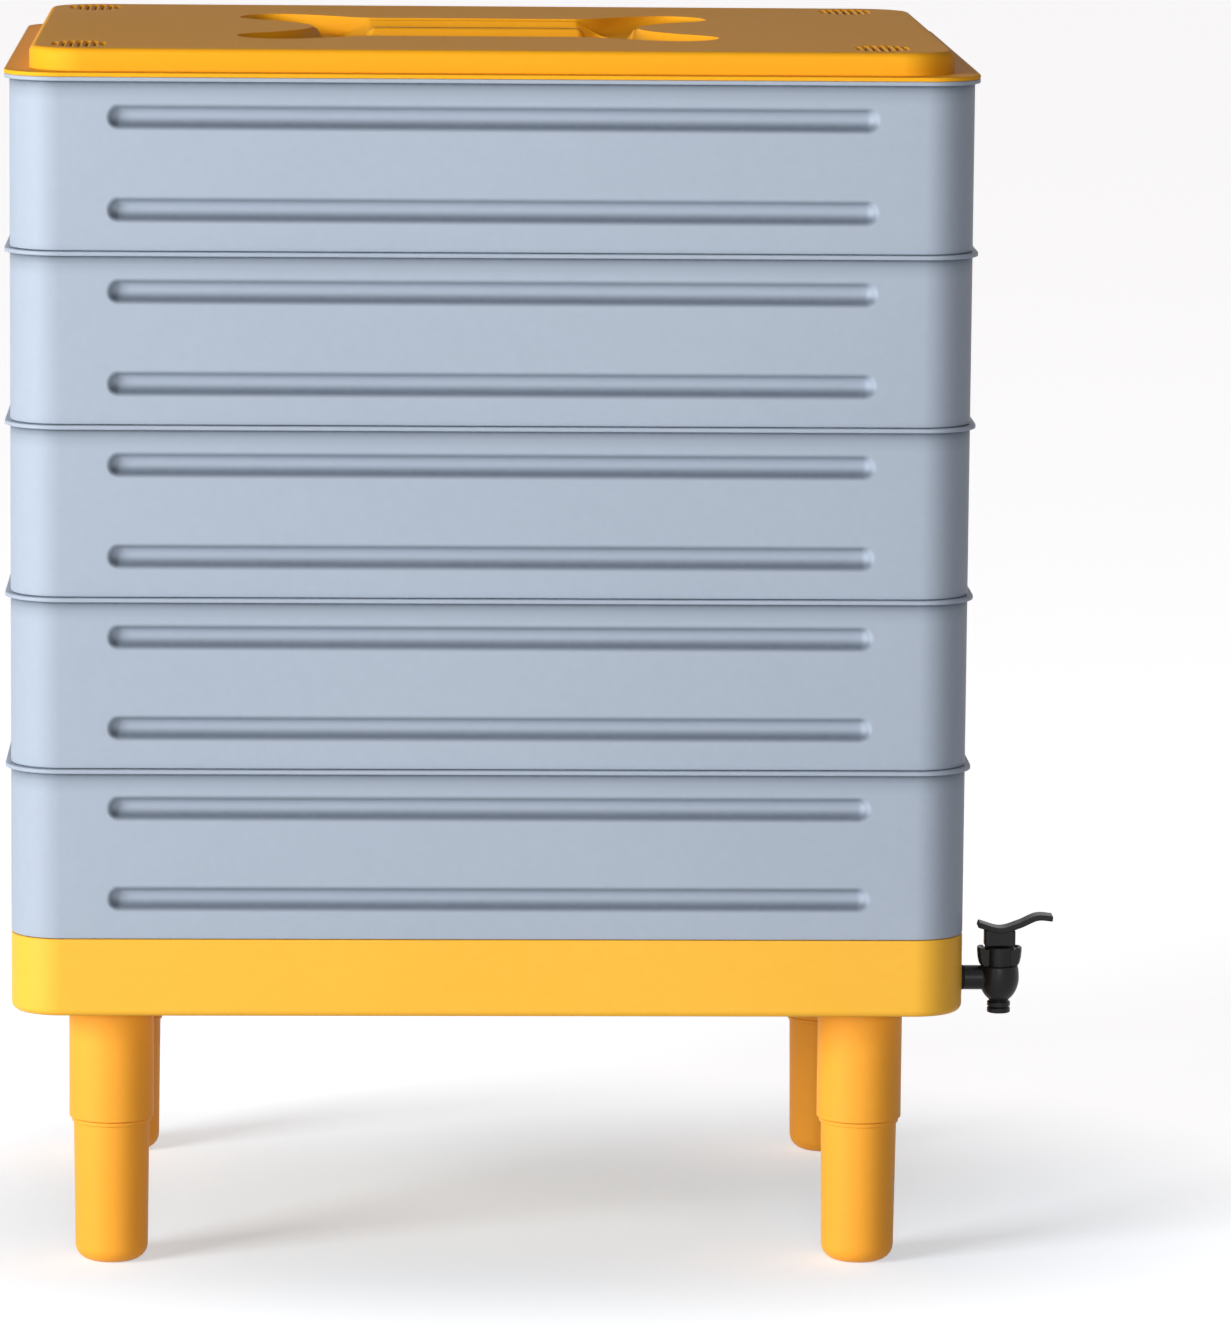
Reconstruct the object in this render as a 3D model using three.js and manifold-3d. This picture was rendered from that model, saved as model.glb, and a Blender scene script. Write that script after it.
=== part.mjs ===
// A stacking wormery: five perforated trays under a lid, on a sump with four legs and a drain tap.
// Millimetres, +Z up. The front faces -Y, the tap is on the right (+X), the feet stand on Z = 0.

import * as THREE from 'three';
import { mergeGeometries, mergeVertices } from 'three/addons/utils/BufferGeometryUtils.js';
import Module from 'manifold-3d';

const wasm = await Module();
wasm.setup();

// Stack
const bodyWidth = 450;
const bodyDepth = 350;
const bodyCornerRadius = 24;
const trayCount = 5;
const trayPitch = 81;
const trayWall = 3;
const trayFloor = 3;
const rimOverhang = 2.6;
const rimThickness = 2;
const spigotDepth = 6;
const spigotWall = 2.4;
const spigotClearance = 1;

// Grip grooves round each tray: two rows on all four walls
const grooveHeight = 13.2;
const grooveDepth = 4.4;
const grooveDraft = 2.4;
const grooveBacking = 2.2;
const grooveEndMargin = 45.2;
const grooveEndShare = 0.46;
const grooveLowerLevel = 19.5;
const grooveUpperLevel = 62.5;

// Slots in each tray's floor, for the worms and the liquid
const floorSlotLength = 40;
const floorSlotWidth = 6;
const floorSlotColumns = 6;
const floorSlotRows = 4;
const floorSlotMargin = 45;

// Sump
const sumpHeight = 37;
const sumpWall = 3;
const sumpFloor = 3;
const sumpEdgeRadius = 3.5;
const sumpPegRadius = 15.7;
const sumpPegLength = 14;

// Lid
const lidFlangeThickness = 2;
const lidPlateInset = 11.5;
const lidPlateHeight = 10.5;
const lidPlateCornerRadius = 26;
const lidEdgeRadius = 3;
const lidSkin = 2.5;
const recessShiftX = -5.5;
const recessDepth = 22;
const recessDraft = 5;
const recessWaistHalfLength = 50;
const recessWaistHalfWidth = 64;
const recessFlareX = 71;
const recessFlareY = 90;
const recessEndX = 77;
const scoopCentreX = 88;
const scoopCentreY = 50;
const scoopReachX = 27;
const scoopReachY = 41;
const scoopDepth = 9;
const barLength = 106;
const barWidth = 10;
const barEdgeRadius = 1.5;
const barEndShare = 0.96;
const ventMarginX = 37;
const ventMarginY = 40;
const ventSlotCount = 7;
const ventSlotPitch = 3.7;
const ventSlotWidth = 1.8;
const ventSlotLength = 40;

// Legs
const legHeight = 126;
const legMargin = 46.5;
const upperLegLength = 56.5;
const upperLegRadius = 20.1;
const lowerLegCollarRadius = 18.9;
const lowerLegCollarHeight = 1.9;
const lowerLegTopRadius = 18;
const lowerLegFootRadius = 17.2;
const lowerLegPegLength = 24;
const lowerLegWall = 3;
const footEdgeRadius = 7.6;

// Tap: sizes are taken from the point where its upright axis meets the pipe's axis
const tapMarginY = 35;
const tapAxisHeight = 13.2;
const tapStandoff = 18.8;
const pipeRadius = 5.8;
const shankRadius = 4.5;
const shankInside = 12;
const pipeBoreRadius = 2.9;
const bulbRadius = 9.5;
const bulbCentreHeight = 0.2;
const bulbLowerReach = 12.2;
const bulbTopRadius = 8.9;
const bulbTopHeight = 6;
const outletNeckRadius = 4.5;
const outletRibRadius = 5.5;
const outletRibTop = 11.4;
const outletRibThickness = 2.1;
const outletGapThickness = 0.9;
const outletEndRibThickness = 2.3;
const outletBoreRadius = 3;
const chamberRadius = 5.2;
const seatLevel = -2;
const neckRadius = 6.1;
const neckTop = 12.7;
const bonnetWaistRadius = 7.1;
const bonnetRadius = 10.65;
const bonnetTop = 15;
const bonnetTopThickness = 1.7;
const bonnetEdge = 0.8;
const bonnetWingWidth = 9.6;
const bonnetFlareShares = [0, 0.1, 0.25, 0.5, 1];
const stemRadius = 2;
const stemTop = 20.8;
const stemCollarRadius = 4.4;
const stemCollarLevel = 3.4;
const stemCollarThickness = 1;
const sealRadius = 4.9;
const sealHeight = 4.6;
const sealSocketDepth = 2.4;
const sealShoulder = 1.2;
const springRadius = 3.4;
const springWire = 0.8;
const springTurns = 5;
const pinRadius = 0.8;
const pinLevel = 19;
const pinLength = 8;
const leverBlockWidth = 14.6;
const leverBlockDepth = 9;
const leverBlockEdge = 1.6;
const leverWidth = 10.4;
const leverThickness = 2.3;
const leverHeelX = -10.4;
const leverHeelLevel = 26;
const leverDipX = 0;
const leverDipLevel = 23.4;
const leverRiseX = 9.2;
const leverRiseLevel = 25.9;
const leverCrestX = 17.5;
const leverCrestLevel = 29.5;
const leverTipX = 25;
const leverTipLevel = 29.2;
const leverCavityLength = 11;
const leverCavityHeight = 6.6;
const nutAcrossFlats = 14;
const nutThickness = 5;
const washerThickness = 1.2;
const outerWasherRadius = 5.95;
const innerWasherRadius = 6.4;

// Clearances: between pieces that rest on or run in each other, and how far a cut runs past a face
const gap = 0.3;
const overrun = 1;

// Facets
const cornerSteps = 4;
const grooveEndSteps = 2;
const legSegments = 20;
const scoopSegments = 14;
const tapSegments = 20;
const smallSegments = 12;

const plasticFinish = { roughness: 0.42, metalness: 0 };
const trayGrey = new THREE.MeshStandardMaterial({ color: 0xb2becd, ...plasticFinish });
const orange = new THREE.MeshStandardMaterial({ color: 0xf5a31c, ...plasticFinish });
const tapBlack = new THREE.MeshStandardMaterial({ color: 0x2b2b2b, ...plasticFinish });
const rubber = new THREE.MeshStandardMaterial({ color: 0x1b1b1b, roughness: 0.85, metalness: 0 });
const steel = new THREE.MeshStandardMaterial({ color: 0xb9bdc2, roughness: 0.3, metalness: 1 });

// Turns a closed geometry into a solid that can be joined and cut
function toSolid(geometry) {
  const bare = geometry.clone();
  bare.deleteAttribute('normal');
  bare.deleteAttribute('uv');
  const merged = mergeVertices(bare, 1e-4);
  const vertProperties = Float32Array.from(merged.attributes.position.array);
  const triVerts = Uint32Array.from(merged.index.array);
  return new wasm.Manifold(new wasm.Mesh({ numProp: 3, vertProperties, triVerts }));
}

function toGeometry(solid) {
  const mesh = solid.getMesh();
  const geometry = new THREE.BufferGeometry();
  geometry.setAttribute('position', new THREE.BufferAttribute(mesh.vertProperties, mesh.numProp));
  geometry.setIndex(new THREE.BufferAttribute(mesh.triVerts, 1));
  const flat = geometry.toNonIndexed();
  flat.computeVertexNormals();
  return flat;
}

// A closed skin through outlines with equal numbers of points, listed from the lowest up
function loft(sections) {
  const positions = [];
  const indices = [];
  const count = sections[0].outline.length;
  for (const { outline, height } of sections) {
    outline.forEach((point) => positions.push(point.x, point.y, height));
  }
  for (let ring = 0; ring < sections.length - 1; ring++) {
    for (let step = 0; step < count; step++) {
      const low = ring * count + step;
      const lowNext = ring * count + ((step + 1) % count);
      indices.push(low, lowNext, lowNext + count, low, lowNext + count, low + count);
    }
  }
  const top = count * (sections.length - 1);
  for (const [a, b, c] of THREE.ShapeUtils.triangulateShape(sections[0].outline, [])) {
    indices.push(a, c, b, top + a, top + b, top + c);
  }
  const geometry = new THREE.BufferGeometry();
  geometry.setAttribute('position', new THREE.Float32BufferAttribute(positions, 3));
  geometry.setIndex(indices);
  return geometry;
}

// A rectangle with round corners, counter-clockwise round the origin
function roundedOutline(width, depth, radius, steps = cornerSteps) {
  const points = [];
  const corners = [[1, 1], [-1, 1], [-1, -1], [1, -1]];
  corners.forEach(([sideX, sideY], quarter) => {
    for (let step = 0; step <= steps; step++) {
      const angle = (quarter + step / steps) * Math.PI / 2;
      const x = sideX * (width / 2 - radius) + radius * Math.cos(angle);
      const y = sideY * (depth / 2 - radius) + radius * Math.sin(angle);
      points.push(new THREE.Vector2(x, y));
    }
  });
  return points;
}

// The stack's outline, moved in by an inset
function bodyOutline(inset) {
  return roundedOutline(bodyWidth - 2 * inset, bodyDepth - 2 * inset, bodyCornerRadius - inset);
}

function prism(outline, from, to) {
  return loft([{ outline, height: from }, { outline, height: to }]);
}

// A solid of revolution about Z, from [radius, height] pairs listed counter-clockwise in the RZ plane
function turned(profile, segments) {
  const points = profile.map(([radius, height]) => new THREE.Vector2(radius, height));
  return new THREE.LatheGeometry(points, segments).rotateX(Math.PI / 2);
}

function cylinder(radius, from, to, segments) {
  return turned([[0, from], [radius, from], [radius, to], [0, to]], segments);
}

// The same, lying along X
function cylinderAlongX(radius, from, to, segments) {
  return cylinder(radius, from, to, segments).rotateY(Math.PI / 2);
}

function box(width, depth, height) {
  return new THREE.BoxGeometry(width, depth, height);
}

// Evenly spaced places, centred on zero
function spread(count, spacing) {
  return Array.from({ length: count }, (_, index) => (index - (count - 1) / 2) * spacing);
}

// Groove bodies for one tray: grown is how much wider than the groove itself, deep is how far in
function grooveBodies(grown, deep) {
  const bodies = [];
  const walls = [
    [bodyWidth, bodyDepth, 0],
    [bodyDepth, bodyWidth, Math.PI / 2],
    [bodyWidth, bodyDepth, Math.PI],
    [bodyDepth, bodyWidth, -Math.PI / 2],
  ];
  for (const [span, across, turn] of walls) {
    for (const level of [grooveLowerLevel, grooveUpperLevel]) {
      const length = span - 2 * grooveEndMargin + 2 * grown;
      const height = grooveHeight + 2 * grown;
      const mouth = roundedOutline(length, height, height * grooveEndShare, grooveEndSteps);
      const inner = height - 2 * grooveDraft;
      const bottom = roundedOutline(length - 2 * grooveDraft, inner, inner * grooveEndShare, grooveEndSteps);
      const body = loft([{ outline: bottom, height: -deep }, { outline: mouth, height: overrun }]);
      body.rotateX(Math.PI / 2);
      body.translate(0, -across / 2, level);
      body.rotateZ(turn);
      bodies.push(body);
    }
  }
  return toSolid(mergeGeometries(bodies));
}

// The slots in a tray's floor, as one body for cutting
function floorSlots() {
  const across = (bodyWidth - 2 * floorSlotMargin) / floorSlotColumns;
  const along = (bodyDepth - 2 * floorSlotMargin) / floorSlotRows;
  const slots = [];
  for (const x of spread(floorSlotColumns, across)) {
    for (const y of spread(floorSlotRows, along)) {
      slots.push(box(floorSlotLength, floorSlotWidth, 4 * trayFloor).translate(x, y, trayFloor / 2));
    }
  }
  return toSolid(mergeGeometries(slots));
}

// The ring under a tray or the lid that drops into the mouth below, from a face at the given height
function spigotRing(face) {
  const outer = bodyOutline(trayWall + spigotClearance);
  const inner = bodyOutline(trayWall + spigotClearance + spigotWall);
  const ring = toSolid(prism(outer, gap - spigotDepth, face + overrun));
  return ring.subtract(toSolid(prism(inner, gap - spigotDepth - overrun, face + 2 * overrun)));
}

// One tray, its underside a gap above zero and the top of its rim at the tray pitch
function trayGeometry() {
  const rimTop = trayPitch;
  const wall = toSolid(prism(bodyOutline(0), gap, rimTop));
  const rim = toSolid(prism(bodyOutline(-rimOverhang), rimTop - rimThickness, rimTop));
  const hollow = toSolid(prism(bodyOutline(trayWall), gap + trayFloor, rimTop + overrun));
  const backing = grooveBodies(grooveBacking, grooveDepth + grooveBacking).intersect(
    toSolid(prism(bodyOutline(trayWall / 2), gap, rimTop)),
  );
  const shell = wall.add(rim).subtract(hollow).add(backing).add(spigotRing(gap));
  const spigotHole = toSolid(
    prism(bodyOutline(trayWall + spigotClearance + spigotWall), -spigotDepth, gap),
  );
  return toGeometry(shell.subtract(spigotHole).subtract(grooveBodies(0, grooveDepth)).subtract(floorSlots()));
}

// The sump, its underside at zero: an open box with pegs for the legs and a hole for the tap
function sumpGeometry() {
  const tight = sumpEdgeRadius * (1 - Math.SQRT1_2);
  const outside = toSolid(loft([
    { outline: bodyOutline(sumpEdgeRadius), height: 0 },
    { outline: bodyOutline(tight), height: tight },
    { outline: bodyOutline(0), height: sumpEdgeRadius },
    { outline: bodyOutline(0), height: sumpHeight },
  ]));
  const inside = toSolid(loft([
    { outline: bodyOutline(sumpWall + sumpEdgeRadius), height: sumpFloor },
    { outline: bodyOutline(sumpWall), height: sumpFloor + sumpEdgeRadius },
    { outline: bodyOutline(sumpWall), height: sumpHeight + overrun },
  ]));
  let sump = outside.subtract(inside);
  for (const [x, y] of legPlaces()) {
    const peg = cylinder(sumpPegRadius, -sumpPegLength, sumpFloor / 2, legSegments).translate(x, y, 0);
    sump = sump.add(toSolid(peg));
  }
  const tapHole = cylinderAlongX(shankRadius + gap, -sumpWall - overrun, overrun, tapSegments);
  tapHole.translate(bodyWidth / 2, tapMarginY - bodyDepth / 2, tapAxisHeight);
  return toGeometry(sump.subtract(toSolid(tapHole)));
}

function legPlaces() {
  const x = bodyWidth / 2 - legMargin;
  const y = bodyDepth / 2 - legMargin;
  return [[-x, -y], [x, -y], [-x, y], [x, y]];
}

// An upper leg: a plain sleeve that hangs from the sump's peg, its top a gap below zero
function upperLegGeometry() {
  const bore = sumpPegRadius + gap;
  return turned([
    [bore, -upperLegLength],
    [upperLegRadius, -upperLegLength],
    [upperLegRadius, -gap],
    [bore, -gap],
    [bore, -upperLegLength],
  ], legSegments);
}

// A lower leg: a hollow foot, open on top, with a collar under the sleeve and a peg inside it
function lowerLegGeometry() {
  const shoulder = -upperLegLength - gap;
  const collarFoot = shoulder - lowerLegCollarHeight;
  const pegTop = shoulder + lowerLegPegLength;
  const pegBore = sumpPegRadius - lowerLegWall;
  const round = footEdgeRadius * (1 - Math.SQRT1_2);
  return turned([
    [0, -legHeight],
    [lowerLegFootRadius - footEdgeRadius, -legHeight],
    [lowerLegFootRadius - round, -legHeight + round],
    [lowerLegFootRadius, -legHeight + footEdgeRadius],
    [lowerLegTopRadius, collarFoot],
    [lowerLegCollarRadius, collarFoot],
    [lowerLegCollarRadius, shoulder],
    [sumpPegRadius, shoulder],
    [sumpPegRadius, pegTop],
    [pegBore, pegTop],
    [pegBore, -legHeight + footEdgeRadius],
    [pegBore - lowerLegWall, -legHeight + lowerLegWall],
    [0, -legHeight + lowerLegWall],
  ], legSegments);
}

// The recess in the lid seen from above: a waist that flares towards two bowed ends
function recessOutline(inset) {
  const quarter = [];
  const flare = new THREE.Vector2(recessFlareX - inset, recessFlareY - inset);
  const waist = new THREE.Vector2(recessWaistHalfLength, recessWaistHalfWidth - inset);
  const end = new THREE.Vector2(recessEndX - inset, 0);
  const bow = new THREE.QuadraticBezierCurve(end, new THREE.Vector2(end.x, flare.y / 2), flare);
  const shoulder = new THREE.Vector2((waist.x + flare.x) / 2, waist.y);
  const sweep = new THREE.QuadraticBezierCurve(flare, shoulder, waist);
  quarter.push(...bow.getPoints(4).slice(0, -1), ...sweep.getPoints(4));
  const mirrored = quarter.slice().reverse().map((point) => new THREE.Vector2(-point.x, point.y));
  const half = [...quarter, ...mirrored];
  const other = half.slice(1, -1).map((point) => new THREE.Vector2(-point.x, -point.y));
  return [...half, ...other];
}

// Four shallow scoops at the recess's corners, grown by a skin where they are backed
function scoops(top, grown) {
  const bowls = [];
  for (const sideX of [-1, 1]) {
    for (const sideY of [-1, 1]) {
      const bowl = new THREE.SphereGeometry(1, scoopSegments, scoopSegments / 2).rotateX(Math.PI / 2);
      bowl.scale(scoopReachX + grown, scoopReachY + grown, scoopDepth + grown);
      bowls.push(bowl.translate(recessShiftX + sideX * scoopCentreX, sideY * scoopCentreY, top));
    }
  }
  return bowls.map(toSolid);
}

// The vent slots: four oval groups near the lid's corners
function ventSlots(top) {
  const slots = [];
  for (const sideX of [-1, 1]) {
    for (const sideY of [-1, 1]) {
      for (const place of spread(ventSlotCount, ventSlotPitch)) {
        const halfSpan = ventSlotCount * ventSlotPitch / 2;
        const length = ventSlotLength * Math.sqrt(1 - (place / halfSpan) ** 2);
        const x = recessShiftX + sideX * (bodyWidth / 2 - ventMarginX) + place;
        const y = sideY * (bodyDepth / 2 - ventMarginY);
        slots.push(box(ventSlotWidth, length, 4 * lidSkin).translate(x, y, top));
      }
    }
  }
  return toSolid(mergeGeometries(slots));
}

// The lid, with zero at the rim of the tray below it
function lidGeometry() {
  const plateTop = lidFlangeThickness + lidPlateHeight;
  const plateOutline = (inset) => roundedOutline(
    bodyWidth + 2 * (rimOverhang - lidPlateInset - inset),
    bodyDepth + 2 * (rimOverhang - lidPlateInset - inset),
    lidPlateCornerRadius - inset,
  );
  const tight = lidEdgeRadius * (1 - Math.SQRT1_2);
  const flange = toSolid(prism(bodyOutline(-rimOverhang), gap, lidFlangeThickness));
  const plate = toSolid(loft([
    { outline: plateOutline(0), height: gap },
    { outline: plateOutline(0), height: plateTop - lidEdgeRadius },
    { outline: plateOutline(tight), height: plateTop - tight },
    { outline: plateOutline(lidEdgeRadius), height: plateTop },
  ]));
  const hollow = toSolid(loft([
    { outline: plateOutline(lidSkin), height: -overrun },
    { outline: plateOutline(lidSkin), height: plateTop - lidEdgeRadius - lidSkin / 2 },
    { outline: plateOutline(lidSkin + tight), height: plateTop - lidSkin },
  ]));
  const reach = toSolid(prism(plateOutline(lidEdgeRadius), -recessDepth, plateTop));
  const shifted = (geometry) => toSolid(geometry.translate(recessShiftX, 0, 0));
  const floor = plateTop - recessDepth;
  const pan = shifted(loft([
    { outline: recessOutline(recessDraft - lidSkin), height: floor - lidSkin },
    { outline: recessOutline(-lidSkin), height: plateTop },
  ]));
  const well = shifted(loft([
    { outline: recessOutline(recessDraft), height: floor },
    { outline: recessOutline(0), height: plateTop },
    { outline: recessOutline(0), height: plateTop + overrun },
  ]));
  const barOutline = (inset) => roundedOutline(
    barLength - 2 * inset,
    barWidth - 2 * inset,
    (barWidth / 2 - inset) * barEndShare,
  );
  const bar = shifted(loft([
    { outline: barOutline(0), height: floor - lidSkin / 2 },
    { outline: barOutline(0), height: plateTop - barEdgeRadius },
    { outline: barOutline(barEdgeRadius), height: plateTop },
  ]));
  let lid = flange.add(plate).subtract(hollow).add(spigotRing(gap)).add(pan);
  for (const bowl of scoops(plateTop, lidSkin)) {
    lid = lid.add(bowl.intersect(reach));
  }
  for (const bowl of scoops(plateTop, 0)) {
    lid = lid.subtract(bowl);
  }
  return toGeometry(lid.subtract(well).add(bar).subtract(ventSlots(plateTop)));
}

// The tap's outer skin below the bonnet: ribbed outlet, bulb and the neck that the bonnet covers
function tapBodyProfile() {
  const outletEnd = -outletRibTop - outletRibThickness - outletGapThickness - outletEndRibThickness;
  const lowerBulb = [];
  const bulbSteps = 7;
  const neckAngle = Math.acos(outletNeckRadius / bulbRadius);
  for (let step = 0; step <= bulbSteps; step++) {
    const angle = -neckAngle * (1 - step / bulbSteps);
    const radius = bulbRadius * Math.cos(angle);
    lowerBulb.push([radius, bulbCentreHeight + bulbLowerReach * Math.sin(angle)]);
  }
  return [
    [0, outletEnd],
    [outletRibRadius, outletEnd],
    [outletRibRadius, outletEnd + outletEndRibThickness],
    [outletNeckRadius, outletEnd + outletEndRibThickness + outletGapThickness / 2],
    [outletRibRadius, -outletRibTop - outletRibThickness],
    [outletRibRadius, -outletRibTop - outletRibThickness / 2],
    [outletNeckRadius, -outletRibTop + outletGapThickness / 2],
    ...lowerBulb,
    [bulbTopRadius, bulbTopHeight],
    [neckRadius, bulbTopHeight],
    [neckRadius, neckTop],
    [0, neckTop],
  ];
}

// The tap's body: pipe and shank along X, outlet and valve chamber along Z
function tapBodyGeometry() {
  const pipeStart = -tapStandoff + 2 * gap + washerThickness;
  const shankStart = -tapStandoff - sumpWall - shankInside;
  const upright = toSolid(turned(tapBodyProfile(), tapSegments));
  const pipe = toSolid(cylinderAlongX(pipeRadius, pipeStart, 0, tapSegments));
  const shank = toSolid(cylinderAlongX(shankRadius, shankStart, 0, tapSegments));
  const pipeBore = toSolid(cylinderAlongX(pipeBoreRadius, shankStart - overrun, 0, smallSegments));
  const outletBore = toSolid(cylinder(outletBoreRadius, -2 * bulbLowerReach, 0, smallSegments));
  const chamber = toSolid(cylinder(chamberRadius, seatLevel, neckTop + overrun, tapSegments));
  return toGeometry(upright.add(pipe).add(shank).subtract(chamber).subtract(outletBore).subtract(pipeBore));
}

// The cap that closes the valve chamber: a round cap between two flared wings
function bonnetGeometry() {
  const foot = bulbTopHeight + gap;
  const bore = neckRadius + gap;
  const flareHeight = bonnetTop - bonnetEdge - foot;
  const flare = bonnetFlareShares.map((share) => [
    bulbTopRadius + (bonnetRadius - bulbTopRadius) * Math.sqrt(Math.sin(share * Math.PI / 2)),
    foot + flareHeight * share,
  ]);
  const shell = (outside) => toSolid(turned([
    [bore, foot],
    ...outside,
    [stemRadius + gap, bonnetTop],
    [stemRadius + gap, bonnetTop - bonnetTopThickness],
    [bore, bonnetTop - bonnetTopThickness],
    [bore, foot],
  ], tapSegments));
  const cap = shell([[bonnetWaistRadius, foot], [bonnetWaistRadius, bonnetTop]]);
  const flared = shell([...flare, [bonnetRadius - bonnetEdge, bonnetTop]]);
  const wings = flared.intersect(toSolid(box(4 * bonnetRadius, bonnetWingWidth, 4 * bonnetTop)));
  return toGeometry(cap.add(wings));
}

// The valve's stem: a rod with a collar for the spring and an eye for the lever's pin
function stemGeometry() {
  const foot = seatLevel + gap + sealHeight - sealSocketDepth + gap;
  const rod = toSolid(turned([
    [0, foot],
    [stemRadius, foot],
    [stemRadius, stemCollarLevel],
    [stemCollarRadius, stemCollarLevel],
    [stemCollarRadius, stemCollarLevel + stemCollarThickness],
    [stemRadius, stemCollarLevel + stemCollarThickness],
    [stemRadius, stemTop],
    [0, stemTop],
  ], smallSegments));
  const eye = cylinder(pinRadius + gap, -stemCollarRadius, stemCollarRadius, smallSegments);
  return toGeometry(rod.subtract(toSolid(eye.rotateX(Math.PI / 2).translate(0, 0, pinLevel))));
}

// The soft cup on the stem's foot that closes the outlet
function sealGeometry() {
  const foot = seatLevel + gap;
  const top = foot + sealHeight;
  const socketRadius = stemRadius + gap;
  return turned([
    [0, foot],
    [sealRadius, foot],
    [sealRadius, foot + sealShoulder],
    [socketRadius + sealShoulder, top],
    [socketRadius, top],
    [socketRadius, top - sealSocketDepth],
    [0, top - sealSocketDepth],
  ], smallSegments);
}

// The spring that holds the seal down, between the stem's collar and the bonnet
class Helix extends THREE.Curve {
  constructor(radius, turns, from, to) {
    super();
    Object.assign(this, { radius, turns, from, to });
  }

  getPoint(share, target = new THREE.Vector3()) {
    const angle = 2 * Math.PI * this.turns * share;
    const height = this.from + (this.to - this.from) * share;
    return target.set(this.radius * Math.cos(angle), this.radius * Math.sin(angle), height);
  }
}

function springGeometry() {
  const from = stemCollarLevel + stemCollarThickness + gap + springWire / 2;
  const to = bonnetTop - bonnetTopThickness - gap - springWire / 2;
  const section = new THREE.Shape().absarc(0, 0, springWire / 2, 0, 2 * Math.PI);
  return new THREE.ExtrudeGeometry(section, {
    extrudePath: new Helix(springRadius, springTurns, from, to),
    steps: springTurns * 10,
    curveSegments: 3,
    bevelEnabled: false,
  });
}

// The lever seen from the front: an S from the heel over a dip to the raised tip, on a square block
function leverGeometry() {
  const spine = new THREE.SplineCurve([
    new THREE.Vector2(leverHeelX, leverHeelLevel),
    new THREE.Vector2(leverDipX, leverDipLevel),
    new THREE.Vector2(leverRiseX, leverRiseLevel),
    new THREE.Vector2(leverCrestX, leverCrestLevel),
    new THREE.Vector2(leverTipX, leverTipLevel),
  ]);
  const upper = [];
  const lower = [];
  const spineSteps = 16;
  for (let step = 0; step <= spineSteps; step++) {
    const point = spine.getPoint(step / spineSteps);
    const along = spine.getTangent(step / spineSteps);
    const side = new THREE.Vector2(-along.y, along.x).multiplyScalar(leverThickness / 2);
    upper.push(point.clone().add(side));
    lower.push(point.clone().sub(side));
  }
  const blade = prism([...lower, ...upper.reverse()], -leverWidth / 2, leverWidth / 2);
  const blockFoot = bonnetTop + gap;
  const blockHeight = leverDipLevel - blockFoot;
  const block = prism(
    roundedOutline(leverBlockWidth, blockHeight + 2 * leverBlockEdge, leverBlockEdge, 3),
    -leverBlockDepth / 2,
    leverBlockDepth / 2,
  ).translate(0, blockFoot + blockHeight / 2 + leverBlockEdge, 0);
  const blockTrim = box(leverBlockWidth, 4 * leverBlockEdge, 2 * leverBlockDepth)
    .translate(0, leverDipLevel + 3 * leverBlockEdge, 0);
  const upright = (geometry) => toSolid(geometry.rotateX(Math.PI / 2));
  const cavity = box(leverCavityLength, 2 * (stemRadius + gap), leverCavityHeight + overrun)
    .translate(0, 0, blockFoot + (leverCavityHeight - overrun) / 2);
  const pinHole = cylinder(pinRadius + gap, -pinLength / 2 - gap, pinLength / 2 + gap, smallSegments)
    .rotateX(Math.PI / 2)
    .translate(0, 0, pinLevel);
  const lever = upright(block).subtract(upright(blockTrim)).add(upright(blade));
  return toGeometry(lever.subtract(toSolid(cavity)).subtract(toSolid(pinHole)));
}

function pinGeometry() {
  return cylinder(pinRadius, -pinLength / 2, pinLength / 2, smallSegments).rotateX(Math.PI / 2);
}

function ringAlongX(outerRadius, thickness) {
  const bore = shankRadius + gap;
  return turned([
    [bore, 0],
    [outerRadius, 0],
    [outerRadius, thickness],
    [bore, thickness],
    [bore, 0],
  ], tapSegments).rotateY(Math.PI / 2);
}

function nutGeometry() {
  const cornerRadius = nutAcrossFlats / Math.sqrt(3);
  const blank = toSolid(cylinderAlongX(cornerRadius, 0, nutThickness, 6));
  const bore = cylinderAlongX(shankRadius + gap, -overrun, nutThickness + overrun, tapSegments);
  return toGeometry(blank.subtract(toSolid(bore)));
}

function piece(name, geometry, material) {
  const mesh = new THREE.Mesh(geometry, material.clone());
  mesh.name = name;
  return mesh;
}

// The tap's pieces, placed about the tap's own origin
function tapAssembly() {
  const tap = new THREE.Group();
  tap.add(piece('tap_body', tapBodyGeometry(), tapBlack));
  tap.add(piece('tap_bonnet', bonnetGeometry(), tapBlack));
  tap.add(piece('valve_stem', stemGeometry(), tapBlack));
  tap.add(piece('valve_seal', sealGeometry(), rubber));
  tap.add(piece('valve_spring', springGeometry(), steel));
  tap.add(piece('tap_lever', leverGeometry(), tapBlack));
  const pin = piece('lever_pin', pinGeometry(), steel);
  pin.position.z = pinLevel;
  tap.add(pin);
  const outerWasher = piece('outer_washer', ringAlongX(outerWasherRadius, washerThickness), rubber);
  outerWasher.position.x = -tapStandoff + gap;
  tap.add(outerWasher);
  const innerWasher = piece('inner_washer', ringAlongX(innerWasherRadius, washerThickness), rubber);
  innerWasher.position.x = -tapStandoff - sumpWall - gap - washerThickness;
  tap.add(innerWasher);
  const nut = piece('tap_nut', nutGeometry(), tapBlack);
  nut.position.x = innerWasher.position.x - gap - nutThickness;
  tap.add(nut);
  return tap;
}

// The whole wormery, moved so that the middle of its overall width, tap included, is at X = 0
const wormery = new THREE.Group();
const stack = new THREE.Group();
wormery.add(stack);

const sump = piece('sump_base', sumpGeometry(), orange);
sump.position.z = legHeight;
stack.add(sump);

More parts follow.
